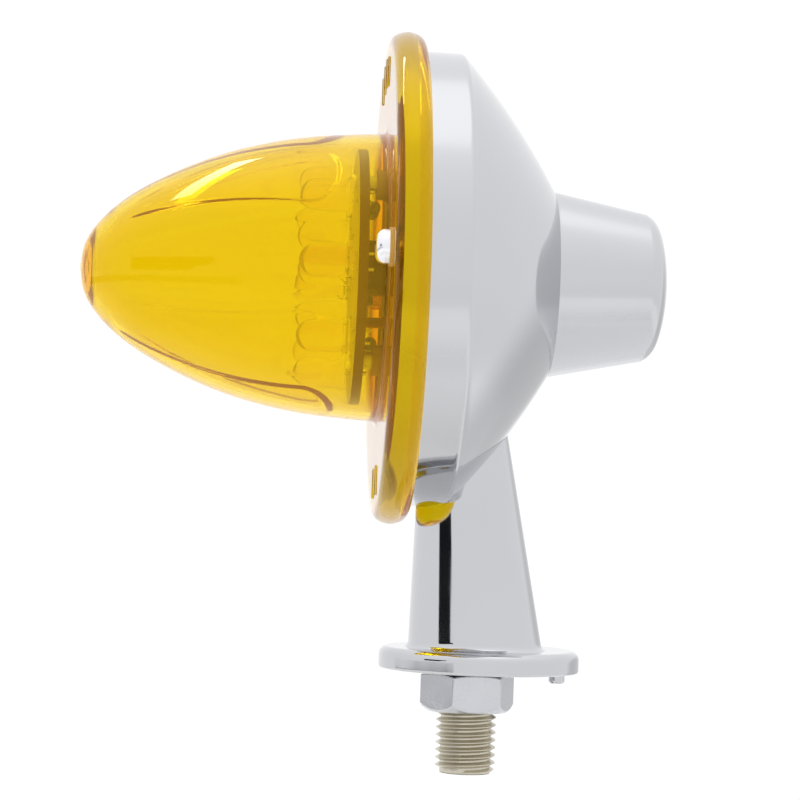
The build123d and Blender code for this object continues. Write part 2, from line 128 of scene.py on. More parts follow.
def hold(points, gap=0.2, least=1.2):
    """The same outline with a point just inside each end of its long straights, so they shade flat."""
    out = [points[0]]
    for a, b in zip(points, points[1:]):
        length = hypot(b[0] - a[0], b[1] - a[1])
        if length > least:
            for t in (gap / length, 1 - gap / length):
                out.append((a[0] + (b[0] - a[0]) * t, a[1] + (b[1] - a[1]) * t))
        out.append(b)
    return out


def arc_through(p1, p2, p3, steps):
    """Points on the round stretch through three points."""
    ax, ay, bx, by, cx, cy = *p1, *p2, *p3
    d = 2 * (ax * (by - cy) + bx * (cy - ay) + cx * (ay - by))
    a2, b2, c2 = ax * ax + ay * ay, bx * bx + by * by, cx * cx + cy * cy
    ux = (a2 * (by - cy) + b2 * (cy - ay) + c2 * (ay - by)) / d
    uy = (a2 * (cx - bx) + b2 * (ax - cx) + c2 * (bx - ax)) / d
    radius = hypot(ax - ux, ay - uy)
    start, end = atan2(ay - uy, ax - ux), atan2(cy - uy, cx - ux)
    if end - start > pi:
        end -= 2 * pi
    if start - end > pi:
        end += 2 * pi
    turns = [start + (end - start) * i / steps for i in range(steps + 1)]
    return [(ux + radius * cos(t), uy + radius * sin(t)) for t in turns]


def cut(piece, tool, kind="DIFFERENCE"):
    """Take one closed piece out of another, or add it, and keep the result."""
    step = piece.modifiers.new("cut", "BOOLEAN")
    step.operation = kind
    step.object = tool
    step.solver = "EXACT"
    bpy.context.view_layer.update()
    shape = piece.evaluated_get(bpy.context.evaluated_depsgraph_get())
    made = bpy.data.meshes.new_from_object(shape)
    piece.modifiers.clear()
    piece.data = made
    bpy.data.objects.remove(tool)
    made.set_sharp_from_angle(angle=radians(35))
    return piece


def along_axis(x, r, a):
    """A place() for pieces turned about the lamp's axis; x in mm."""
    return Vector((x * MM, r * MM * sin(a), LAMP_Z + r * MM * cos(a)))


def upright(x, y):
    """A place() for pieces turned about a vertical axis; along is z in mm."""
    return lambda s, r, a: Vector((x + r * MM * cos(a), y + r * MM * sin(a), s * MM))


def on_facing(u, v, start):
    """A place() for pieces turned about a line square to the board, at u, v on it, from x = start."""
    centre = Vector((0, 0, LAMP_Z)) + (NEAR * u + UP * v) * MM

    def place(s, r, a):
        return Vector((start - s * MM, centre.y, centre.z)) + (NEAR * cos(a) + UP * sin(a)) * r * MM

    return place


def ring_faces(a, b, count):
    """The faces between two rings of points, given the first point's number of each."""
    return [(a + i, a + (i + 1) % count, b + (i + 1) % count, b + i) for i in range(count)]


def last_where(test, low, high):
    """The highest place between low and high where the test still holds, found by halving."""
    for _ in range(40):
        middle = (low + high) / 2
        if test(middle):
            low = middle
        else:
            high = middle
    return low


def join(name, pieces):
    """One object from several."""
    verts, faces = [], []
    for piece in pieces:
        base = len(verts)
        verts += [v.co.copy() for v in piece.data.vertices]
        faces += [[base + i for i in f.vertices] for f in piece.data.polygons]
        bpy.data.objects.remove(piece)
    return finish_mesh(name, verts, faces)


# ---- materials ---------------------------------------------------------------
def shader(name, **sockets):
    """A Principled material with plain values on its sockets."""
    made = bpy.data.materials.new(name)
    made.use_nodes = True
    main = made.node_tree.nodes["Principled BSDF"]
    for key, value in sockets.items():
        socket = main.inputs[key.replace("_", " ")]
        socket.default_value = (*value, 1.0) if isinstance(value, tuple) else value
    return made


def add_node(made, kind, **inputs):
    """A node of a kind with plain values on its inputs."""
    node = made.node_tree.nodes.new(kind)
    for key, value in inputs.items():
        node.inputs[key.replace("_", " ")].default_value = value
    return node


def grain(made, scale, strength, distance, detail=3.0):
    """Fine relief over the surface."""
    links = made.node_tree.links
    main = made.node_tree.nodes["Principled BSDF"]
    place = made.node_tree.nodes.new("ShaderNodeTexCoord")
    noise = add_node(made, "ShaderNodeTexNoise", Scale=scale, Detail=detail, Roughness=0.55)
    bump = add_node(made, "ShaderNodeBump", Strength=strength, Distance=distance)
    links.new(place.outputs["Object"], noise.inputs["Vector"])
    links.new(noise.outputs["Fac"], bump.inputs["Height"])
    links.new(bump.outputs["Normal"], main.inputs["Normal"])


def vary(made, socket, scale, low, high, detail=4.0):
    """A number or colour that wanders between two values over the surface."""
    links = made.node_tree.links
    main = made.node_tree.nodes["Principled BSDF"]
    place = made.node_tree.nodes.new("ShaderNodeTexCoord")
    noise = add_node(made, "ShaderNodeTexNoise", Scale=scale, Detail=detail, Roughness=0.6)
    ramp = made.node_tree.nodes.new("ShaderNodeValToRGB")
    for element, position, value in zip(ramp.color_ramp.elements, (0.3, 0.7), (low, high)):
        element.position = position
        element.color = (*value, 1) if isinstance(value, tuple) else (value, value, value, 1)
    links.new(place.outputs["Object"], noise.inputs["Vector"])
    links.new(noise.outputs["Fac"], ramp.inputs["Fac"])
    links.new(ramp.outputs["Color"], main.inputs[socket])


def metal(name, low, high, rough_low, rough_high):
    """A plated metal whose colour and gloss wander a little."""
    made = shader(name, Metallic=1.0)
    vary(made, "Base Color", 60.0, low, high)
    vary(made, "Roughness", 400.0, rough_low, rough_high)
    grain(made, 800.0, 0.05, 0.0001)
    return made


def chrome_plate():
    """Bright chrome with the slight waviness of a polished casting."""
    made = shader("chrome_plate", Metallic=1.0)
    vary(made, "Base Color", 25.0, (0.555, 0.56, 0.575), (0.575, 0.58, 0.595))
    vary(made, "Roughness", 140.0, 0.05, 0.085)
    grain(made, 45.0, 0.03, 0.0003, detail=1.0)
    return made


def amber_acrylic():
    """Clear amber plastic, deeper in colour where it is thick, with a faint painted glow: an orange emission
    over the whole lens that lightens its bead and edges.
    """
    made = shader(
        "amber_acrylic",
        Base_Color=(0.83, 0.75, 0.06),
        Transmission_Weight=0.97,
        IOR=1.5,
        Specular_Tint=(1.0, 0.8, 0.15),
        # painted glow: the lens gives off a little orange light of its own though it is no lamp
        Emission_Color=(1.0, 0.36, 0.0),
        Emission_Strength=0.05,
    )
    vary(made, "Roughness", 90.0, 0.0, 0.03)
    grain(made, 120.0, 0.02, 0.0002, detail=1.0)
    soak = made.node_tree.nodes.new("ShaderNodeVolumeAbsorption")
    soak.inputs["Color"].default_value = (0.997, 0.94, 0.0, 1)
    soak.inputs["Density"].default_value = 700.0
    out = made.node_tree.nodes["Material Output"]
    made.node_tree.links.new(soak.outputs["Volume"], out.inputs["Volume"])
    return made


def clear_resin():
    """The LEDs' clear bodies."""
    made = shader(
        "clear_resin", Base_Color=(1.0, 0.95, 0.8), Transmission_Weight=1.0, IOR=1.12, Roughness=0.12
    )
    grain(made, 200.0, 0.02, 0.0001)
    return made


def moulded(name, low, high, rough, scale=500.0, bump=0.15):
    """A moulded or sleeved surface with a fine grain."""
    made = shader(name, Roughness=rough)
    vary(made, "Base Color", 90.0, low, high)
    grain(made, scale, bump, 0.0001)
    return made


BOARD_R = (board_high.y - board_low.y) / 2
BARE_LAMINATE = (0.16, 0.075, 0.05, 1)


def dark_edge(made, radius):
    """Bare brown laminate outside a radius from the lamp's axis."""
    tree = made.node_tree
    main = tree.nodes["Principled BSDF"]
    place = tree.nodes.new("ShaderNodeTexCoord")
    shift = tree.nodes.new("ShaderNodeMapping")
    shift.inputs["Location"].default_value = (0, 0, -LAMP_Z)
    shift.inputs["Scale"].default_value = (0, 1, 1)
    length = tree.nodes.new("ShaderNodeVectorMath")
    length.operation = "LENGTH"
    past = tree.nodes.new("ShaderNodeMath")
    past.operation = "GREATER_THAN"
    past.inputs[1].default_value = radius
    mix = tree.nodes.new("ShaderNodeMix")
    mix.data_type = "RGBA"
    mix.inputs[7].default_value = BARE_LAMINATE
    tree.links.new(place.outputs["Object"], shift.inputs["Vector"])
    tree.links.new(shift.outputs["Vector"], length.inputs[0])
    tree.links.new(length.outputs["Value"], past.inputs[0])
    tree.links.new(past.outputs["Value"], mix.inputs[0])
    tree.links.new(main.inputs["Base Color"].links[0].from_socket, mix.inputs[6])
    tree.links.new(mix.outputs[2], main.inputs["Base Color"])


CHROME = chrome_plate()
AMBER = amber_acrylic()
RESIN = clear_resin()
SCREW = metal("bright_screw_plate", (0.80, 0.80, 0.82), (0.9, 0.9, 0.92), 0.10, 0.2)
ZINC = metal("blue_zinc_plate", (0.55, 0.56, 0.58), (0.61, 0.62, 0.64), 0.2, 0.3)
STUD_ZINC = metal("yellow_zinc_plate", (0.52, 0.48, 0.38), (0.64, 0.61, 0.52), 0.25, 0.4)
TIN = metal("tinned_wire", (0.7, 0.7, 0.7), (0.82, 0.82, 0.82), 0.2, 0.35)
BRASS = metal("tinned_brass", (0.66, 0.6, 0.42), (0.78, 0.74, 0.6), 0.25, 0.4)
RUBBER = moulded("black_rubber", (0.012, 0.012, 0.012), (0.03, 0.03, 0.03), 0.6, 900.0, 0.25)
SILICONE = moulded("amber_silicone", (0.62, 0.36, 0.06), (0.7, 0.42, 0.08), 0.35, 900.0, 0.1)
CARRIER = moulded("tan_moulding", (0.46, 0.34, 0.2), (0.54, 0.4, 0.25), 0.4)
LAMINATE = moulded("white_solder_mask", (0.74, 0.72, 0.64), (0.82, 0.80, 0.73), 0.35, 300.0, 0.05)
dark_edge(LAMINATE, BOARD_R - 0.1 * MM)
EPOXY = moulded("chip_epoxy", (0.018, 0.018, 0.02), (0.035, 0.035, 0.04), 0.55, 1200.0, 0.3)
SLEEVE = moulded("capacitor_sleeve", (0.02, 0.025, 0.05), (0.04, 0.045, 0.08), 0.25, 200.0, 0.05)
LACQUER = moulded("resistor_lacquer", (0.30, 0.46, 0.60), (0.38, 0.55, 0.68), 0.3, 300.0, 0.1)
FEED = moulded("orange_insulation", (0.72, 0.22, 0.02), (0.82, 0.29, 0.04), 0.4, 300.0, 0.08)
EARTH = moulded("black_insulation", (0.02, 0.02, 0.02), (0.035, 0.035, 0.035), 0.4, 300.0, 0.08)


def paint(piece, made):
    """One material over the whole piece."""
    piece.data.materials.clear()
    piece.data.materials.append(made)


# ---- lens ----------------------------------------------------------------------
NOSE = (SEAT_X - lens_low.x) / MM
FLANGE_R = (lens_high.z - lens_low.z) / 2 / MM
FLANGE_FRONT = 6.5
SKIRT_INNER = 38.4
# outlines as (mm ahead of the seat plane, radius): the dome outside and inside, and the flat inside the nose
OUTER = [
    (7.5, 24.1), (11.0, 23.9), (18.8, 23.2), (25.8, 21.95), (32.8, 20.0), (39.8, 17.2),
    (46.3, 13.8), (50.8, 10.6), (54.1, 7.2), (56.0, 3.9),
]
INNER = [
    (7.5, 22.75), (11.0, 22.55), (18.8, 21.85), (25.6, 20.6), (32.4, 18.7), (39.1, 16.0),
    (45.3, 12.75), (49.6, 9.7), (52.4, 6.7), (53.5, 5.0), (53.95, 3.6),
]
NOSE_FLAT = [(54.05, 2.6), (54.08, 1.2), (54.1, 0.0)]
# the fillet at the dome's foot and the flange's face, the rounded bead, and the flange's rear with its skirt
FOOT = [
    (7.0, 24.17), (6.68, 24.4), (6.53, 24.75), (6.5, 25.1), (6.5, 26.0), (6.5, 29.0), (6.5, 34.0),
    (FLANGE_FRONT, SKIRT_INNER),
]
BEAD = [
    (6.5, 38.9), (6.35, 39.7), (5.85, 40.45), (4.9, 40.95), (3.6, FLANGE_R), (2.4, 40.95), (1.5, 40.5),
    (0.98, 39.85), (FLANGE_REAR, 39.1),
]
REAR = [
    (FLANGE_REAR, 39.1), (FLANGE_REAR, 38.45), (0.9, SKIRT_INNER), (3.1, SKIRT_INNER), (3.1, 22.95),
    (3.3, 22.75), (7.5, 22.75),
]
PADS = 9
PAD_HEIGHT = 0.32
PAD_SOFT = 1.15
PAD_REAR, PAD_ROUND, PAD_FRONT, PAD_HALF = 14.5, 4.6, 49.5, 6.3
SCREW_OUT = 31.6
SCREW_HOLE = 1.8
TICKS = (77, 85.67, 94.33, 103, 264, 276)


def pad_depth(s, w):
    """How far the inner face stands proud, in mm, w mm to the side of a pad's centre line."""
    if s < PAD_REAR + PAD_ROUND:
        inside = (1 - hypot((s - PAD_REAR - PAD_ROUND) / PAD_ROUND, w / PAD_HALF)) * 5.4
    else:
        taper = (s - PAD_REAR - PAD_ROUND) / (PAD_FRONT - PAD_REAR - PAD_ROUND)
        inside = PAD_HALF * (1 - taper) + 0.4 * taper - abs(w)
    t = min(1.0, max(0.0, inside / PAD_SOFT + 0.5))
    fade = min(1.0, max(0.0, (PAD_FRONT - s) / 5.0))
    return PAD_HEIGHT * t * t * (3 - 2 * t) * fade


def build_lens():
    """The lens as one shell: dome, flange, bead and skirt, with pads on its inner face."""
    count = PADS * 40
    outer = curve_through(OUTER + [(NOSE, 0.0)], 8)
    inner = curve_through(INNER, 12)
    path = FOOT + curve_through(BEAD, 4) + hold(REAR)[1:]
    outline = outer[::-1] + path + inner[1:] + NOSE_FLAT
    first_inner = len(outer) + len(path)
    verts, faces, rings = [], [], []
    for row, (s, r) in enumerate(outline):
        if r < 1e-6:
            rings.append([len(verts)] * count)
            verts.append(on_lamp(s))
            continue
        rings.append(list(range(len(verts), len(verts) + count)))
        for i in range(count):
            angle = 2 * pi * i / count
            radius = r
            if row >= first_inner:
                sector = (angle * PADS / (2 * pi) + 0.5) % 1.0 - 0.5
                radius -= pad_depth(s, sector * 2 * pi / PADS * r)
            verts.append(on_lamp(s, radius, angle))
    for a, b in zip(rings, rings[1:]):
        for i in range(count):
            j = (i + 1) % count
            loop = [a[i], a[j], b[j], b[i]]
            loop = [v for k, v in enumerate(loop) if v != loop[k - 1]]
            if len(set(loop)) > 2:
                faces.append(loop)
    lens = finish_mesh("lens_moulding", verts, faces, sharp=50.0)
    hole = [(0, 0), (0, SCREW_HOLE), (9, SCREW_HOLE), (9, 0)]
    for side in (1, -1):
        place = on_facing(side * SCREW_OUT, 0, SEAT_X)
        cut(lens, lathe("hole", hole, place, 40, closed=False))
    for angle in TICKS:
        cut(lens, tick_bar(radians(angle)), "UNION")
    paint(lens, AMBER)
    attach(lens, "lens_cover")
    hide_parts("lens")


def tick_bar(angle):
    """A plain raised bar with a rounded top, lying along a radius of the flange."""
    verts, faces = [], []
    profile = [
        (-0.35, -0.3), (-0.35, 0.12), (-0.24, 0.22), (0.0, 0.25), (0.24, 0.22), (0.35, 0.12), (0.35, -0.3)
    ]
    ends = [(32.0, 0.55), (32.25, 1.0), (36.75, 1.0), (37.0, 0.55)]
    for r, wide in ends:
        for w, h in profile:
            turn = angle + w * wide / r
            rise = h * (1.0 if h < 0 else (0.5 + 0.5 * wide))
            verts.append(on_lamp(FLANGE_FRONT + rise, r, turn))
    n = len(profile)
    for k in range(len(ends) - 1):
        faces += ring_faces(k * n, (k + 1) * n, n)
    faces.append(tuple(range(n)))
    faces.append(tuple(range((len(ends) - 1) * n, len(ends) * n)))
    return finish_mesh("tick", verts, faces, sharp=60.0)


# ---- housing ---------------------------------------------------------------------
RIM_R = (housing_high.z - LAMP_Z) / MM
# the casting's box starts at the base plate's edge, 3.15 mm ahead of where the CAD rim starts
MOUTH_X = housing_low.x / MM
TIP_X = housing_high.x / MM
CONE = arc_through((-4.3, 37.35), (4.0, 27.35), (11.6, 15.65), 24)
RIM_END_X = -5.2
RIM_SHOULDER = 0.7
STUB_ROOT, STUB_END = (11.8, 15.6), (27.2, 12.49)
WALL_BITE = 1.2
# the bosses as front x, outside radius, hole radius and hole depth
SCREW_BOSS, CARRIER_BOSS = (-11.9, 4.3, 1.55, 8.7), (-7.8, 3.2, 1.3, 5.6)
# the arm as (z, centre x, radius), the passage in it the same way, and the stud's hole below it
ARM_FOOT, ARM_TOP = (2.6, 1.14, 11.37), (46.0, -2.55, 6.7)
PASSAGE_LOW, PASSAGE_HIGH = (11.0, 0.3, 7.9), (46.0, -2.55, 4.4)
ARM_START, STUD_HOLE = 3.3, 5.05
PLATE_X, PLATE_R, PLATE_TOP, PLATE_ROUND = 1.75, 16.8, 3.6, 1.4
RECESS_R, RECESS_DEPTH = 9.2, 0.5
PIN_X, PIN_R, PIN_LOW = 15.0, 1.35, -2.0


def bowl_radius(x):
    """Outside radius of the bowl and cone at x, in mm."""
    if x <= RIM_END_X:
        return RIM_R
    if x <= CONE[0][0]:
        return RIM_R - RIM_SHOULDER * (x - RIM_END_X) / (CONE[0][0] - RIM_END_X)
    for (xa, ra), (xb, rb) in zip(CONE, CONE[1:]):
        if x <= xb:
            return ra + (rb - ra) * (x - xa) / (xb - xa)
    return CONE[-1][1]


def tapered(z, foot, top):
    """Centre x and radius at height z of a taper between two (z, centre x, radius) ends, in mm."""
    t = (z - foot[0]) / (top[0] - foot[0])
    return foot[1] + (top[1] - foot[1]) * t, foot[2] + (top[2] - foot[2]) * t


def in_passage(z, r, a):
    """A place() for the arm's slanted passage."""
    x = tapered(z, PASSAGE_LOW, PASSAGE_HIGH)[0]
    return Vector((x + r * cos(a), r * sin(a), z)) * MM


def build_bowl():
    """The rim, bowl, cone and stub as one turned shell, opened into the arm's passage."""
    mouth = [(MOUTH_X, 35.75), (MOUTH_X, 37.8), (-11.8, 38.03), (-11.6, RIM_R)]
    shoulder = [(RIM_END_X, 37.97), (-4.93, 37.91), (-4.68, 37.78), (-4.47, 37.59)]
    tip = [(27.4, 12.45), (28.45, 11.75), (29.4, 10.5), (30.2, 8.2), (30.8, 5.2), (31.1, 2.4), (TIP_X, 0.0)]
    outer = mouth + shoulder + CONE + [STUB_ROOT, STUB_END] + curve_through(tip, 5)
    inner = [
        (28.2, 0.0), (28.2, 7.6), (26.4, 9.8), (11.2, 12.9), (9.9, 14.2), (-5.6, 35.6), (-11.75, 35.6),
        (MOUTH_X, 35.75),
    ]
    bowl = lathe("bowl", hold(outer) + hold(inner), along_axis, count=216, closed=False, sharp=30.0)
    low, high = PASSAGE_LOW[0], PASSAGE_HIGH[0]
    passage = [(low, 0.0), (low, PASSAGE_LOW[2]), (high, PASSAGE_HIGH[2]), (high, 0.0)]
    return cut(bowl, lathe("passage", passage, in_passage, 72, closed=False))


def build_arm():
    """The arm's skin, trimmed inside the bowl's wall, with its passage and the stud's hole."""
    count, rows = 144, 28
    turns = [2 * pi * i / count for i in range(count)]
    verts, faces = [], []

    def trimmed(inset, a):
        def clear_of_wall(z):
            cx, r = tapered(z, ARM_FOOT, ARM_TOP)
            x, y = cx + (r - inset) * cos(a), (r - inset) * sin(a)
            return hypot(y, LAMP_Z / MM - z) > bowl_radius(x) - WALL_BITE

        return last_where(clear_of_wall, 12.0, 45.8)

    def foot_flare(z):
        near = max(0.0, 1 - (z - 3.55))
        return 0.9 * (1 - sqrt(1 - near * near)) if near < 1 else 0.9

    tops = [trimmed(0.0, a) for a in turns]
    for k in range(rows + 1):
        for a, top in zip(turns, tops):
            z = ARM_START + (top - ARM_START) * (k / rows) ** 1.6
            cx, r = tapered(z, ARM_FOOT, ARM_TOP)
            r += foot_flare(z)
            verts.append(Vector((cx + r * cos(a), r * sin(a), z)) * MM)
    for heights in ([trimmed(2.3, a) for a in turns], [PASSAGE_LOW[0]] * count):
        for a, z in zip(turns, heights):
            verts.append(in_passage(z, tapered(z, PASSAGE_LOW, PASSAGE_HIGH)[1], a))
    for z in (PASSAGE_LOW[0], ARM_START):
        verts += [Vector((STUD_HOLE * cos(a), STUD_HOLE * sin(a), z)) * MM for a in turns]
    rings = rows + 5
    for k in range(rings):
        faces += ring_faces(k * count, (k + 1) % rings * count, count)
    return finish_mesh("arm", verts, faces, sharp=30.0)


def build_plate():
    """The base plate with its washer recess, and the locating pin."""
    edge, round_from = PLATE_R, PLATE_TOP - PLATE_ROUND
    outline = [(0.0, 0.0), (0.0, edge - 0.35), (0.1, edge - 0.1), (0.35, edge), (round_from, edge)]
    outline += arc_at(round_from, edge - PLATE_ROUND, PLATE_ROUND) + [(PLATE_TOP, 0.0)]
    plate = lathe("plate", hold(outline), upright(PLATE_X * MM, 0), count=192, closed=False)
    recess = [
        (-1.0, 0.0), (-1.0, RECESS_R), (RECESS_DEPTH, RECESS_R), (RECESS_DEPTH, STUD_HOLE), (8.0, STUD_HOLE),
        (8.0, 0.0),
    ]
    cut(plate, lathe("recess", recess, upright(0, 0), 96, closed=False))
    pin = [
        (PIN_LOW, 0.0), (PIN_LOW, PIN_R - 0.5), (PIN_LOW + 0.1, PIN_R - 0.2), (PIN_LOW + 0.4, PIN_R),
        (0.4, PIN_R), (0.4, 0.0),
    ]
    return plate, lathe("locating_pin", hold(pin), upright(PIN_X * MM, 0), 40, closed=False)


def arc_at(along, out, radius):
    """A quarter round from the side to the top face, as (along, out) points."""
    return [(along + radius * sin(pi / 2 * i / 8), out + radius * cos(pi / 2 * i / 8)) for i in range(9)]


def boss(u, v, front, out, hole, depth):
    """A drilled post inside the bowl, from its front face back to within the bowl's wall."""
    count, bottom = 48, front + depth
    verts, faces = [], []
    place = on_facing(u, v, 0.0)
    for x, r in ((bottom, 0.001), (bottom, hole), (front, hole), (front, out), (None, out)):
        for i in range(count):
            spot = place(0, r, 2 * pi * i / count)
            at_x = x
            if x is None:
                away = hypot(spot.y, spot.z - LAMP_Z) / MM
                at_x = last_where(lambda t: bowl_radius(t) - WALL_BITE > away, -5.0, 9.0)
            verts.append(Vector((at_x * MM, spot.y, spot.z)))
    for k in range(4):
        faces += ring_faces(k * count, (k + 1) * count, count)
    faces.append(tuple(range(4 * count, 5 * count)))
    faces.append(tuple(range(count)))
    return finish_mesh("boss", verts, faces)


def build_housing():
    """The casting, made of closed shells that overlap where the metal is one."""
    bosses = [boss(side * SCREW_OUT, 0, *SCREW_BOSS) for side in (1, -1)]
    for angle in (radians(55), radians(235)):
        bosses.append(boss(28 * cos(angle), 28 * sin(angle), *CARRIER_BOSS))
    casting = join("housing_casting", [build_bowl(), build_arm(), *build_plate()] + bosses)
    paint(casting, CHROME)
    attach(casting, "base")
    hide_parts("housing")


# ---- threads --------------------------------------------------------------------
MAJOR, PITCH = 5.0, 1.25
THREAD_TOP, BORE = 2.0, 2.5
NUT_FLATS, NUT_TURN = 14.0, radians(8.3)


def thread(place, low, high, major, pitch):
    """The points and faces of a right-hand outside thread from low to high, with a turned end at low."""
    columns, chamfer = 48, 0.8
    root = major - 0.6134 * pitch
    shape = [(0.0, root), (0.11, root), (0.44, major), (0.56, major), (0.89, root)]
    turns = int((high - low) / pitch) + 3
    verts, faces = [], []
    rows = turns * len(shape)
    for row in range(rows):
        k, j = divmod(row, len(shape))
        for c in range(columns):
            z = low + pitch * (k - 1 + shape[j][0] + c / columns)
            r = shape[j][1]
            z = min(max(z, low), high)
            r = min(r, root - 0.1 * pitch + (z - low) * (major - root + 0.1 * pitch) / chamfer)
            verts.append(place(z, r, 2 * pi * c / columns))
    for row in range(rows - 1):
        here, above = row * columns, (row + 1) * columns
        for c in range(columns - 1):
            faces.append((here + c, here + c + 1, above + c + 1, above + c))
        over = row + len(shape)
        if over + 1 < rows:
            c = columns - 1
            faces.append((here + c, over * columns, (over + 1) * columns, above + c))
    return verts, faces


def build_stud():
    """The hollow stud: a threaded skin on a plain shell with the lead's bore."""
    low, high, step = stud_low.z / MM, stud_high.z / MM, THREAD_TOP - 0.3
    verts, faces = thread(upright(0, 0), low, THREAD_TOP, MAJOR, PITCH)
    skin = finish_mesh("stud_thread", verts, faces, sharp=25.0)
    outline = [
        (low, 4.2), (low, BORE + 0.4), (low + 0.4, BORE), (high, BORE), (high, 4.7), (high - 0.4, 4.95),
        (step, 4.95), (step, 4.0), (low + 0.02, 4.0),
    ]
    shell = lathe("stud_shell", outline, upright(0, 0), count=48)
    stud = join("stud_threaded", [skin, shell])
    paint(stud, STUD_ZINC)
    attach(stud, "base")
    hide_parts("stud")


def build_nut():
    """A hexagon whose corners are turned off, more at the free end than against the washer."""
    low, high = nut_low.z / MM, nut_high.z / MM
    count, bore, sink, face = 180, MAJOR + 0.03, 5.6, 6.6
    columns = []
    for i in range(count):
        a = 2 * pi * i / count + NUT_TURN
        edge = NUT_FLATS / 2 / cos((a - NUT_TURN) % (pi / 3) - pi / 6)
        over = max(0.0, edge - face)
        drop = 0.22 * over + 0.2 * over * over
        section = [
            (bore, low + 0.7), (sink, low), (face, low), (edge, low + 0.12 + 1.6 * drop),
            (edge, high - 0.05 - 0.5 * drop), (face, high), (sink, high), (bore, high - 0.7),
        ]
        columns.append([Vector((r * cos(a), r * sin(a), z)) * MM for r, z in section])
    rings = len(columns[0])
    verts = [column[k] for k in range(rings) for column in columns]
    faces = []
    for k in range(rings):
        faces += ring_faces(k * count, (k + 1) % rings * count, count)
    nut = finish_mesh("nut_hexagon", verts, faces, sharp=20.0)
    rounding = nut.modifiers.new("rounding", "BEVEL")
    rounding.width = 0.00015
    rounding.segments = 2
    rounding.limit_method = "ANGLE"
    rounding.angle_limit = radians(20)
    paint(nut, ZINC)
    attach(nut, "nut")
    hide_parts("mount_nut")


# ---- carried-over nodes -----------------------------------------------------------
KEPT = {
    "lens_gasket": RUBBER,
    "lens_screw_left": SCREW,
    "lens_screw_right": SCREW,
    "screw_seal_left": SILICONE,
    "screw_seal_right": SILICONE,
    "carrier": CARRIER,
    "carrier_screws": SCREW,
    "led_board": LAMINATE,
    "board_spacers": ZINC,
    "board_screws": SCREW,
    "leds_outer": RESIN,
    "leds_inner": RESIN,
    "led_legs_outer": TIN,
    "led_legs_inner": TIN,
    "driver_chip": EPOXY,
    "capacitor": SLEEVE,
    "resistors": LACQUER,
    "resistor_legs": TIN,
    "lead_feed": FEED,
    "lead_earth": EARTH,
    "ring_terminal": BRASS,
    "earth_screw": ZINC,
    "lead_grommet": RUBBER,
    "lock_washer": ZINC,
}


def repaint_nodes():
    """Give each CAD node that stays its material."""
    for name, made in KEPT.items():
        paint(nodes[name], made)


# ---- studio --------------------------------------------------------------------------
CAMERA_PLACE = (-0.04172, -0.4578, 0.03275)
CAMERA_TURN, CAMERA_TILT, CAMERA_ROLL = radians(-3.6), radians(-1.49), radians(1.96)
CAMERA_LENS, CAMERA_SENSOR = 123.1, 36.0


def build_camera():
    """The camera, level with the lamp's arm and square to its side but for a few degrees."""
    turn, tilt, roll = CAMERA_TURN, CAMERA_TILT, CAMERA_ROLL
    ahead = Vector((-sin(turn) * cos(tilt), cos(turn) * cos(tilt), -sin(tilt)))
    across = Vector((cos(turn), sin(turn), 0))
    over = across.cross(ahead)
    right = across * cos(roll) + over * sin(roll)
    top = over * cos(roll) - across * sin(roll)
    data = bpy.data.cameras.new("camera")
    data.sensor_width = CAMERA_SENSOR
    data.lens = CAMERA_LENS
    camera = bpy.data.objects.new("camera", data)
    turned = Matrix((right, top, -ahead)).transposed().to_4x4()
    camera.matrix_world = Matrix.Translation(CAMERA_PLACE) @ turned
    bpy.context.scene.collection.objects.link(camera)
    bpy.context.scene.camera = camera


# the tent's brightness against height, from 0 straight down to 1 straight up
TENT_LEVELS = [
    (0.0, 0.36), (0.1, 0.4), (0.2, 0.54), (0.33, 0.58), (0.37, 0.53), (0.5, 0.53), (0.8, 0.56), (0.93, 0.62),
    (0.975, 0.76), (1.0, 0.78),
]
TENT_GAIN = 2.0
TENT_COLOUR = (0.985, 0.985, 1.0, 1)
CORNER_WAY = (0.607, 0.769, -0.202)
CORNER_FROM, CORNER_TO, CORNER_DIM = 0.88, 0.98, 0.71


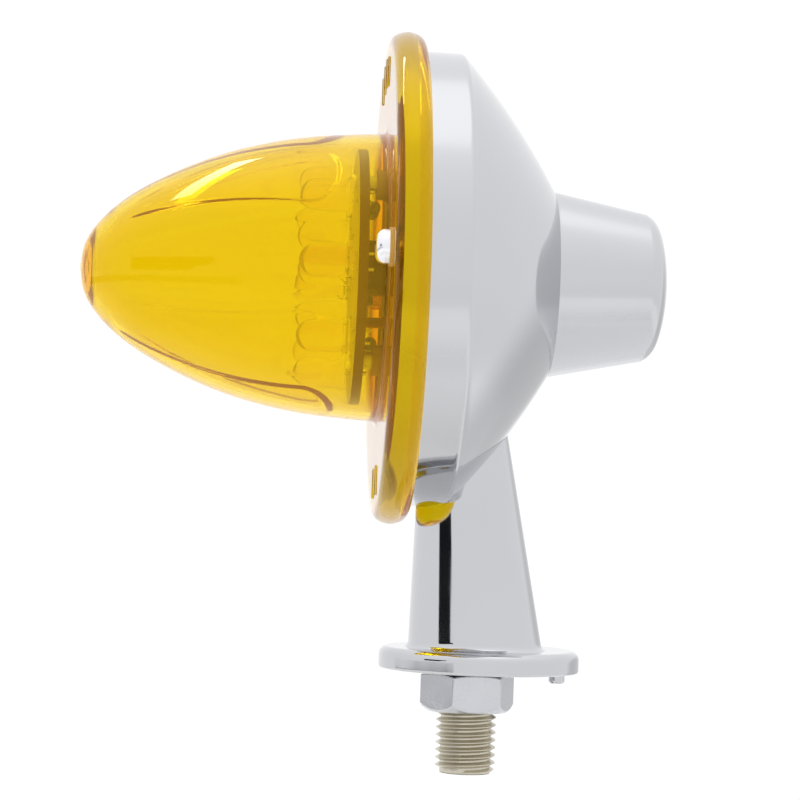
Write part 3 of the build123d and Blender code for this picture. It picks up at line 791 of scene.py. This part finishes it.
def build_world():
    """A white tent: a pale ground, a brighter strip overhead and a darker corner at the rear right."""
    world = bpy.data.worlds.new("tent")
    bpy.context.scene.world = world
    world.use_nodes = True
    tree = world.node_tree
    tree.nodes.clear()
    out = tree.nodes.new("ShaderNodeOutputWorld")
    glow = tree.nodes.new("ShaderNodeBackground")
    place = tree.nodes.new("ShaderNodeTexCoord")
    split = tree.nodes.new("ShaderNodeSeparateXYZ")
    tree.links.new(place.outputs["Generated"], split.inputs["Vector"])

    def curve_of(source, stops):
        made = tree.nodes.new("ShaderNodeFloatCurve")
        curve = made.mapping.curves[0]
        for at, value in stops[1:-1]:
            curve.points.new(at, value)
        curve.points[0].location = stops[0]
        curve.points[-1].location = stops[-1]
        made.mapping.use_clip = False
        made.mapping.update()
        tree.links.new(source, made.inputs["Value"])
        return made.outputs["Value"]

    def maths(kind, first, second):
        made = tree.nodes.new("ShaderNodeMath")
        made.operation = kind
        for socket, value in zip(made.inputs, (first, second)):
            if isinstance(value, float):
                socket.default_value = value
            else:
                tree.links.new(value, socket)
        return made.outputs["Value"]

    height = maths("MULTIPLY_ADD", split.outputs["Z"], 0.5)
    height.node.inputs[2].default_value = 0.5
    level = maths("MULTIPLY", curve_of(height, TENT_LEVELS), TENT_GAIN)
    corner = tree.nodes.new("ShaderNodeVectorMath")
    corner.operation = "DOT_PRODUCT"
    corner.inputs[1].default_value = CORNER_WAY
    tree.links.new(place.outputs["Generated"], corner.inputs[0])
    shade = tree.nodes.new("ShaderNodeMapRange")
    shade.interpolation_type = "SMOOTHSTEP"
    shade.inputs["From Min"].default_value = CORNER_FROM
    shade.inputs["From Max"].default_value = CORNER_TO
    shade.inputs["To Min"].default_value = 1.0
    shade.inputs["To Max"].default_value = CORNER_DIM
    tree.links.new(corner.outputs["Value"], shade.inputs["Value"])
    tree.links.new(maths("MULTIPLY", level, shade.outputs["Result"]), glow.inputs["Strength"])
    glow.inputs["Color"].default_value = TENT_COLOUR
    tree.links.new(glow.outputs["Background"], out.inputs["Surface"])


def emitter(name, colour, strength):
    """A material that only glows."""
    made = bpy.data.materials.new(name)
    made.use_nodes = True
    tree = made.node_tree
    tree.nodes.clear()
    glow = tree.nodes.new("ShaderNodeEmission")
    glow.inputs["Color"].default_value = (*colour, 1)
    glow.inputs["Strength"].default_value = strength
    out = tree.nodes.new("ShaderNodeOutputMaterial")
    tree.links.new(glow.outputs["Emission"], out.inputs["Surface"])
    return made


def band(name, edge, made):
    """An upright strip round the object; edge gives (degrees from front to nose, low z, high z)."""
    verts, count = [], len(edge)
    for turn, low, high in edge:
        x, y = -BAND_OUT * sin(radians(turn)), -BAND_OUT * cos(radians(turn))
        verts += [Vector((x, y, low)), Vector((x, y, high))]
    faces = [(2 * k, 2 * k + 2, 2 * k + 3, 2 * k + 1) for k in range(count - 1)]
    piece = finish_mesh(name, verts, faces, smooth=False)
    paint(piece, made)
    return piece


def seen_in_reflections(piece):
    """Hide a band from the camera, the diffuse light and the clear pieces; only reflections show it."""
    piece.visible_camera = False
    piece.visible_diffuse = False
    piece.visible_transmission = False
    piece.visible_shadow = False
    piece.visible_volume_scatter = False


FLOOR_Z, FLOOR_R = -0.045, 0.19
FLOOR_SOLID_R, FLOOR_CLEAR_R = 0.09, 0.185
BAND_OUT = 1.2
# the bands' edges as (degrees from the front toward the nose, low z, high z)
UPPER_BAND = [(42.0, 0.15, 0.26), (46.0, 0.11, 0.26), (50.0, 0.02, 0.26), (69.5, 0.02, 0.26)]
LOWER_BAND = [
    (33.0, -0.2, -0.086), (42.0, -0.2, -0.0825), (60.0, -0.2, -0.083), (80.0, -0.2, -0.084),
    (115.0, -0.2, -0.0865),
]


def build_floor():
    """A pale disc that fades out toward its edge."""
    count = 96
    ring = [Vector((0, 0, FLOOR_Z))]
    for i in range(count):
        turn = 2 * pi * i / count
        ring.append(Vector((FLOOR_R * cos(turn), FLOOR_R * sin(turn), FLOOR_Z)))
    floor = finish_mesh("floor", ring, [(0, 1 + i, 1 + (i + 1) % count) for i in range(count)])
    made = shader("pale_floor", Base_Color=(0.88, 0.88, 0.88), Roughness=0.8)
    tree = made.node_tree
    place = tree.nodes.new("ShaderNodeTexCoord")
    length = tree.nodes.new("ShaderNodeVectorMath")
    length.operation = "LENGTH"
    flat = tree.nodes.new("ShaderNodeVectorMath")
    flat.operation = "MULTIPLY"
    flat.inputs[1].default_value = (1, 1, 0)
    fade = tree.nodes.new("ShaderNodeMapRange")
    fade.interpolation_type = "SMOOTHSTEP"
    fade.inputs["From Min"].default_value = FLOOR_SOLID_R
    fade.inputs["From Max"].default_value = FLOOR_CLEAR_R
    fade.inputs["To Min"].default_value = 1.0
    fade.inputs["To Max"].default_value = 0.0
    tree.links.new(place.outputs["Object"], flat.inputs[0])
    tree.links.new(flat.outputs["Vector"], length.inputs[0])
    tree.links.new(length.outputs["Value"], fade.inputs["Value"])
    tree.links.new(fade.outputs["Result"], tree.nodes["Principled BSDF"].inputs["Alpha"])
    paint(floor, made)


# the soft box overhead, toward the nose and a little behind
SOFT_BOX_SIZE, SOFT_BOX_ENERGY = (0.6, 0.09), 1.4
SOFT_BOX_WAY, SOFT_BOX_OUT, SOFT_BOX_LIFT = (-0.43, 0.32, 0.84), 1.1, 0.06
SOFT_BOX_AIM = (-0.02, 0, 0.065)


def build_studio():
    """The tent, the floor, two dark gaps in the tent that chrome mirrors, and one soft box overhead."""
    build_world()
    build_floor()
    dark = emitter("tent_edge_dark", (0.02, 0.022, 0.026), 0.5)
    grey = emitter("tent_edge_grey", (0.3, 0.3, 0.32), 1.0)
    seen_in_reflections(band("tent_edge_upper", UPPER_BAND, dark))
    seen_in_reflections(band("tent_edge_lower", LOWER_BAND, grey))

    data = bpy.data.lights.new("overhead", "AREA")
    data.shape = "RECTANGLE"
    data.size, data.size_y = SOFT_BOX_SIZE
    data.energy = SOFT_BOX_ENERGY
    light = bpy.data.objects.new("overhead", data)
    light.location = Vector(SOFT_BOX_WAY) * SOFT_BOX_OUT + Vector((0, 0, SOFT_BOX_LIFT))
    light.rotation_euler = (Vector(SOFT_BOX_AIM) - light.location).to_track_quat("-Z", "Y").to_euler()
    light.visible_camera = False
    bpy.context.scene.collection.objects.link(light)
    bpy.context.scene.view_settings.view_transform = "Standard"


build_camera()
build_lens()
build_stud()
build_nut()
build_housing()
repaint_nodes()
build_studio()
